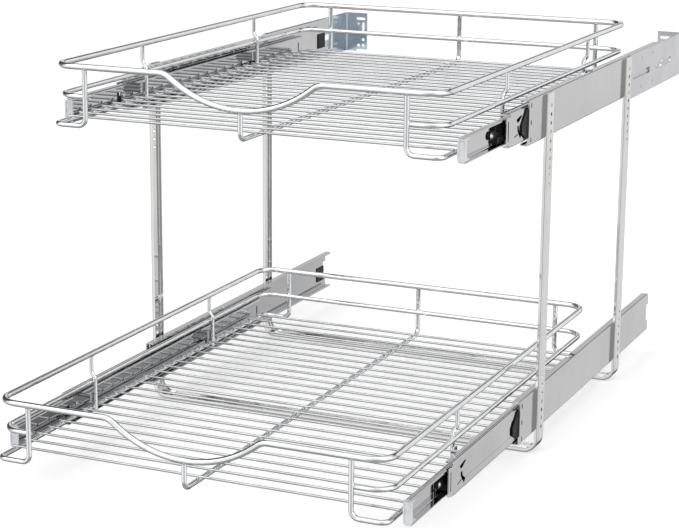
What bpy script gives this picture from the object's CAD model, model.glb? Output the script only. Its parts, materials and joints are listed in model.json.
import json

import bmesh
import bpy
from mathutils import Matrix, Vector

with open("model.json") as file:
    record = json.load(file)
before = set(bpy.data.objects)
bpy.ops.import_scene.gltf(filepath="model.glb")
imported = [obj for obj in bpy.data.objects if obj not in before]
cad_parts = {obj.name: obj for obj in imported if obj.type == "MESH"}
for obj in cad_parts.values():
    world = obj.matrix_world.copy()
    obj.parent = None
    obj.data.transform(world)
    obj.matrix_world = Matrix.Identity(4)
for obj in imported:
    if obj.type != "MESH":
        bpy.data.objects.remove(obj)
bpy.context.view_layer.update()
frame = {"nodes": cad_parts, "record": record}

print("frame loaded:", len(frame["nodes"]), "nodes")


# Shader helpers

noiseSpan = {"middle": (0.35, 0.65), "wide": (0.2, 0.8)}  # the part of a noise that is spread out


def newMaterial(name):
    material = bpy.data.materials.new(name)
    material.use_nodes = True
    material.node_tree.nodes.clear()
    shader = material.node_tree.nodes.new("ShaderNodeBsdfPrincipled")
    output = material.node_tree.nodes.new("ShaderNodeOutputMaterial")
    material.node_tree.links.new(shader.outputs["BSDF"], output.inputs["Surface"])
    return material, shader


def addNode(owner, kind, **settings):
    node = owner.node_tree.nodes.new(kind)
    for key, value in settings.items():
        if key in node.inputs:
            node.inputs[key].default_value = value
        else:
            setattr(node, key, value)
    return node


def join(owner, source, target):
    owner.node_tree.links.new(source, target)


def objectPlace(material, stretch=(1, 1, 1)):
    place = addNode(material, "ShaderNodeTexCoord")
    mapping = addNode(material, "ShaderNodeMapping")
    mapping.inputs["Scale"].default_value = stretch
    join(material, place.outputs["Object"], mapping.inputs["Vector"])
    return mapping.outputs["Vector"]


def spreadBetween(owner, value, lowAt, highAt, low, high, kind="LINEAR"):
    spread = addNode(owner, "ShaderNodeMapRange", interpolation_type=kind)
    spread.inputs["From Min"].default_value = lowAt
    spread.inputs["From Max"].default_value = highAt
    spread.inputs["To Min"].default_value = low
    spread.inputs["To Max"].default_value = high
    join(owner, value, spread.inputs["Value"])
    return spread.outputs["Result"]


def noiseBetween(material, place, scale, detail, low=0, high=1, span="middle"):
    noise = addNode(material, "ShaderNodeTexNoise", Scale=scale, Detail=detail)
    join(material, place, noise.inputs["Vector"])
    return spreadBetween(material, noise.outputs["Fac"], *noiseSpan[span], low, high)


def twoTones(material, amount, dark, light):
    mix = addNode(material, "ShaderNodeMix", data_type="RGBA")
    mix.inputs["A"].default_value = (*dark, 1)
    mix.inputs["B"].default_value = (*light, 1)
    join(material, amount, mix.inputs["Factor"])
    return mix.outputs["Result"]


def bumpFrom(material, height, strength, distance):
    bump = addNode(material, "ShaderNodeBump", Strength=strength, Distance=distance)
    join(material, height, bump.inputs["Height"])
    return bump.outputs["Normal"]


# Plated steel: two close tones, a roughness that wanders, and a fine grain, drawn out along a rolled piece

platedSteel = {
    "chromedWire": {
        "dark": (0.82, 0.83, 0.84), "light": (0.90, 0.91, 0.92), "smooth": 0.01, "dull": 0.04,
        "stretch": (1, 1, 1), "grain": 260, "bump": 0.015, "blotch": 30},
    "floorWire": {
        "dark": (0.48, 0.49, 0.50), "light": (0.58, 0.59, 0.60), "smooth": 0.05, "dull": 0.12,
        "stretch": (1, 1, 1), "grain": 260, "bump": 0.015, "blotch": 30},
    "railSteel": {
        "dark": (0.54, 0.54, 0.55), "light": (0.60, 0.60, 0.61), "smooth": 0.02, "dull": 0.05,
        "stretch": (1, 0.04, 1), "grain": 420, "bump": 0.012, "blotch": 14},
    "frameSteel": {
        "dark": (0.72, 0.72, 0.71), "light": (0.79, 0.79, 0.78), "smooth": 0.05, "dull": 0.11,
        "stretch": (1, 1, 0.05), "grain": 420, "bump": 0.012, "blotch": 16},
    "bracketSteel": {
        "dark": (0.60, 0.60, 0.63), "light": (0.66, 0.66, 0.69), "smooth": 0.16, "dull": 0.24,
        "stretch": (1, 1, 1), "grain": 300, "bump": 0.01, "blotch": 22},
    "blueSteel": {
        "dark": (0.40, 0.48, 0.57), "light": (0.78, 0.85, 0.91), "smooth": 0.16, "dull": 0.24,
        "stretch": (1, 1, 1), "grain": 300, "bump": 0.02, "blotch": 12},
    "cageSteel": {
        "dark": (0.34, 0.35, 0.36), "light": (0.52, 0.53, 0.54), "smooth": 0.24, "dull": 0.40,
        "stretch": (1, 0.1, 1), "grain": 500, "bump": 0.06, "blotch": 40},
    "screwSteel": {
        "dark": (0.50, 0.50, 0.51), "light": (0.62, 0.62, 0.63), "smooth": 0.20, "dull": 0.32,
        "stretch": (1, 1, 1), "grain": 600, "bump": 0.04, "blotch": 90},
    "ballSteel": {
        "dark": (0.62, 0.63, 0.64), "light": (0.70, 0.71, 0.72), "smooth": 0.06, "dull": 0.12,
        "stretch": (1, 1, 1), "grain": 700, "bump": 0.01, "blotch": 60},
}

steelGrain = {"toneDetail": 3, "grainDetail": 6, "roughDetail": 5, "roughCoarser": 6, "depth": 0.0002}


def makeSteel(name):
    finish = platedSteel[name]
    material, shader = newMaterial(name)
    place = objectPlace(material)
    drawn = objectPlace(material, finish["stretch"])
    tone = noiseBetween(material, place, finish["blotch"], steelGrain["toneDetail"])
    grain = noiseBetween(material, drawn, finish["grain"], steelGrain["grainDetail"], span="wide")
    rough = noiseBetween(material, drawn, finish["grain"] / steelGrain["roughCoarser"],
                         steelGrain["roughDetail"], finish["smooth"], finish["dull"])
    shader.inputs["Metallic"].default_value = 1
    join(material, twoTones(material, tone, finish["dark"], finish["light"]), shader.inputs["Base Color"])
    join(material, rough, shader.inputs["Roughness"])
    join(material, bumpFrom(material, grain, finish["bump"], steelGrain["depth"]), shader.inputs["Normal"])
    return material


# Moulded plastic: end caps in white, release levers and rail stops in black

mouldedPlastic = {
    "blackPlastic": {
        "dark": (0.004, 0.004, 0.005), "light": (0.010, 0.010, 0.011), "smooth": 0.42, "dull": 0.56},
    "whitePlastic": {
        "dark": (0.60, 0.61, 0.63), "light": (0.72, 0.73, 0.75), "smooth": 0.22, "dull": 0.34},
}

plasticGrain = {"blotch": 90, "patch": 300, "patchDetail": 3, "grain": 1600, "grainDetail": 2,
                "bump": 0.12, "depth": 0.0001, "shine": 0.3}


def makePlastic(name):
    finish = mouldedPlastic[name]
    material, shader = newMaterial(name)
    place = objectPlace(material)
    tone = noiseBetween(material, place, plasticGrain["blotch"], plasticGrain["patchDetail"])
    grain = noiseBetween(material, place, plasticGrain["grain"], plasticGrain["grainDetail"])
    rough = noiseBetween(material, place, plasticGrain["patch"], plasticGrain["patchDetail"],
                         finish["smooth"], finish["dull"])
    join(material, twoTones(material, tone, finish["dark"], finish["light"]), shader.inputs["Base Color"])
    join(material, rough, shader.inputs["Roughness"])
    join(material, bumpFrom(material, grain, plasticGrain["bump"], plasticGrain["depth"]),
         shader.inputs["Normal"])
    shader.inputs["Specular IOR Level"].default_value = plasticGrain["shine"]
    return material


materials = {name: makeSteel(name) for name in platedSteel}
materials.update({name: makePlastic(name) for name in mouldedPlastic})

finishOf = {
    "chromed_wire": "chromedWire", "rail_steel": "railSteel", "frame_steel": "frameSteel",
    "bracket_steel": "bracketSteel", "cage_steel": "cageSteel", "ball_steel": "ballSteel",
    "screw_steel": "screwSteel", "black_plastic": "blackPlastic", "white_plastic": "whitePlastic",
}

slotOf = {entry["node"]: entry["material_slot"] for entry in frame["record"]["subparts"]}
for nodeName, node in frame["nodes"].items():
    finish = materials[finishOf[slotOf[nodeName]]]
    if nodeName == "left_wall_bracket":
        finish = materials["blueSteel"]
    if nodeName.endswith("floor_wires"):
        finish = materials["floorWire"]
    node.data.materials.clear()
    node.data.materials.append(finish)
print("materials made:", len(materials))


# What plated steel mirrors, by direction: bright on the camera's side and dark above and behind the object,
# with pale cards behind it, and grey gaps below it and below the camera. Directions point away from it

studioGlow = {
    "away": (-0.394, 0.882, 0.259),
    "steps": (  # how far a direction lies along "away", and the brightness there
        (-1, 0.66), (-0.86, 0.72), (-0.7, 1.0), (-0.1, 0.95), (0.2, 0.7), (0.42, 0.13), (0.62, 0.07)),
    "cards": (
        # upright faces
        {"toward": (0.2511, 0.9371, -0.2424), "level": 0.80, "edge": 0.948, "full": 0.996},
        # level faces
        {"toward": (-0.3956, 0.8858, 0.2424), "level": 0.70, "edge": 0.95, "full": 0.985},
        # wires that run from front to back
        {"toward": (0.436, 0.8858, 0.159), "level": 0.86, "edge": 0.86, "full": 0.94},
        # rails, seen from either side
        {"toward": (0.7776, 0.505, -0.3746), "level": 0.55, "edge": 0.891, "full": 0.966},
        {"toward": (-0.8187, 0.4353, -0.3746), "level": 0.55, "edge": 0.891, "full": 0.966}),
    "gaps": (
        {"toward": (0, 0, -1), "level": 0.36, "edge": 0.35, "full": 0.70},
        {"toward": (0.3956, -0.8858, -0.2424), "level": 0.68, "edge": 0.93, "full": 0.99}),
}


def dotWith(owner, way, direction):
    along = addNode(owner, "ShaderNodeVectorMath", operation="DOT_PRODUCT")
    along.inputs[1].default_value = direction
    join(owner, way, along.inputs[0])
    return along.outputs["Value"]


def glowAlong(owner, way):
    ramp = addNode(owner, "ShaderNodeValToRGB")
    along = dotWith(owner, way, studioGlow["away"])
    join(owner, spreadBetween(owner, along, -1, 1, 0, 1), ramp.inputs["Fac"])
    stops = ramp.color_ramp.elements
    stops.remove(stops[1])
    for number, (reach, level) in enumerate(studioGlow["steps"]):
        position = (reach + 1) / 2
        stop = stops[0] if number == 0 else stops.new(position)
        stop.position = position
        stop.color = (level, level, level, 1)
    glow = ramp.outputs["Color"]
    for kind, operation, idle in (("cards", "MAXIMUM", 0), ("gaps", "MULTIPLY", 1)):
        for patch in studioGlow[kind]:
            level = spreadBetween(owner, dotWith(owner, way, patch["toward"]), patch["edge"], patch["full"],
                                  idle, patch["level"], "SMOOTHSTEP")
            both = addNode(owner, "ShaderNodeMath", operation=operation)
            join(owner, glow, both.inputs[0])
            join(owner, level, both.inputs[1])
            glow = both.outputs["Value"]
    return glow


# Floor: pale, clear to mirror rays, and lifted to white for the camera outside the object's shadow. The lift
# grows with the distance, as the lamps' light fades

studioFloor = {"size": 12, "drop": 0.0006, "shade": 0.80, "tint": 0.01, "blotch": 2, "blotchDetail": 2,
               "dull": 0.9, "liftNear": 0.36, "liftFar": 0.58, "nearAt": 0.8, "farAt": 5.0}


def makeFloorPaint():
    material, shader = newMaterial("floorPaint")
    place = objectPlace(material)
    tone = noiseBetween(material, place, studioFloor["blotch"], studioFloor["blotchDetail"])
    dark = (studioFloor["shade"],) * 3
    light = (studioFloor["shade"] + studioFloor["tint"],) * 3
    join(material, twoTones(material, tone, dark, light), shader.inputs["Base Color"])
    shader.inputs["Roughness"].default_value = studioFloor["dull"]
    paths = addNode(material, "ShaderNodeLightPath")
    reach = addNode(material, "ShaderNodeVectorMath", operation="LENGTH")
    join(material, place, reach.inputs[0])
    lifted = spreadBetween(material, reach.outputs["Value"], studioFloor["nearAt"], studioFloor["farAt"],
                           studioFloor["liftNear"], studioFloor["liftFar"])
    lift = addNode(material, "ShaderNodeMath", operation="MULTIPLY")
    join(material, paths.outputs["Is Camera Ray"], lift.inputs[0])
    join(material, lifted, lift.inputs[1])
    join(material, lift.outputs["Value"], shader.inputs["Emission Strength"])
    shader.inputs["Emission Color"].default_value = (1, 1, 1, 1)
    clear = addNode(material, "ShaderNodeBsdfTransparent")
    mirrored = addNode(material, "ShaderNodeMixShader")
    join(material, paths.outputs["Is Glossy Ray"], mirrored.inputs["Fac"])
    join(material, shader.outputs["BSDF"], mirrored.inputs[1])
    join(material, clear.outputs["BSDF"], mirrored.inputs[2])
    join(material, mirrored.outputs["Shader"], material.node_tree.nodes["Material Output"].inputs["Surface"])
    return material


def makeFloor():
    mesh = bpy.data.meshes.new("floor")
    sheet = bmesh.new()
    bmesh.ops.create_grid(sheet, x_segments=1, y_segments=1, size=studioFloor["size"] / 2)
    bmesh.ops.translate(sheet, verts=sheet.verts, vec=(0, 0, -studioFloor["drop"]))
    sheet.to_mesh(mesh)
    sheet.free()
    floor = bpy.data.objects.new("floor", mesh)
    bpy.context.scene.collection.objects.link(floor)
    mesh.materials.append(makeFloorPaint())


makeFloor()
print("floor laid:", studioFloor["size"], "m wide")


# World: white to the camera, and the glow above to everything else

def makeWorld():
    world = bpy.data.worlds.new("studio")
    world.use_nodes = True
    background = world.node_tree.nodes["Background"]
    way = addNode(world, "ShaderNodeTexCoord")
    paths = addNode(world, "ShaderNodeLightPath")
    seen = addNode(world, "ShaderNodeMath", operation="MAXIMUM")
    join(world, glowAlong(world, way.outputs["Generated"]), seen.inputs[0])
    join(world, paths.outputs["Is Camera Ray"], seen.inputs[1])
    join(world, seen.outputs["Value"], background.inputs["Strength"])
    background.inputs["Color"].default_value = (1, 1, 1, 1)
    bpy.context.scene.world = world


makeWorld()
print("glow set:", len(studioGlow["cards"]), "cards and", len(studioGlow["gaps"]), "gaps")


# Lamps: three large soft boxes, at the left front, at the right and overhead

softBoxes = {
    "keyBox": {"place": (-1.4, -2.2, 2.2), "aim": (0, -0.1, 0.2), "size": (3.2, 2.8), "watts": 26},
    "rightBox": {"place": (2.4, -0.9, 1.4), "aim": (0, 0, 0.2), "size": (2.4, 2.4), "watts": 16},
    "topBox": {"place": (0, 0.2, 2.8), "aim": (0, 0, 0), "size": (3.4, 3.4), "watts": 26},
}


def makeLamp(name):
    box = softBoxes[name]
    lamp = bpy.data.lights.new(name, "AREA")
    lamp.shape = "RECTANGLE"
    lamp.size, lamp.size_y = box["size"]
    lamp.energy = box["watts"]
    lampObject = bpy.data.objects.new(name, lamp)
    lampObject.location = box["place"]
    toAim = Vector(box["aim"]) - Vector(box["place"])
    lampObject.rotation_euler = toAim.to_track_quat("-Z", "Y").to_euler()
    bpy.context.scene.collection.objects.link(lampObject)


for boxName in softBoxes:
    makeLamp(boxName)
print("lamps set:", len(softBoxes))


# Camera: place, aim and lens solved from the photograph's straight edges

photoCamera = {"place": (0.8237, -1.9880, 0.6804), "forward": (-0.3956, 0.8858, -0.2424),
               "right": (0.9123, 0.4095, 0.0077), "lens": 105.3, "sensor": 36,
               "nearest": 0.05, "farthest": 50}


def makeCamera():
    camera = bpy.data.cameras.new("photoCamera")
    camera.lens = photoCamera["lens"]
    camera.sensor_width = photoCamera["sensor"]
    camera.clip_start = photoCamera["nearest"]
    camera.clip_end = photoCamera["farthest"]
    back = -Vector(photoCamera["forward"]).normalized()
    right = Vector(photoCamera["right"])
    right = (right - back * right.dot(back)).normalized()
    up = back.cross(right)
    turn = Matrix((right, up, back)).transposed()
    cameraObject = bpy.data.objects.new("photoCamera", camera)
    cameraObject.matrix_world = Matrix.Translation(photoCamera["place"]) @ turn.to_4x4()
    bpy.context.scene.collection.objects.link(cameraObject)
    bpy.context.scene.camera = cameraObject


makeCamera()
bpy.context.scene.view_settings.view_transform = "Standard"
print("camera set")
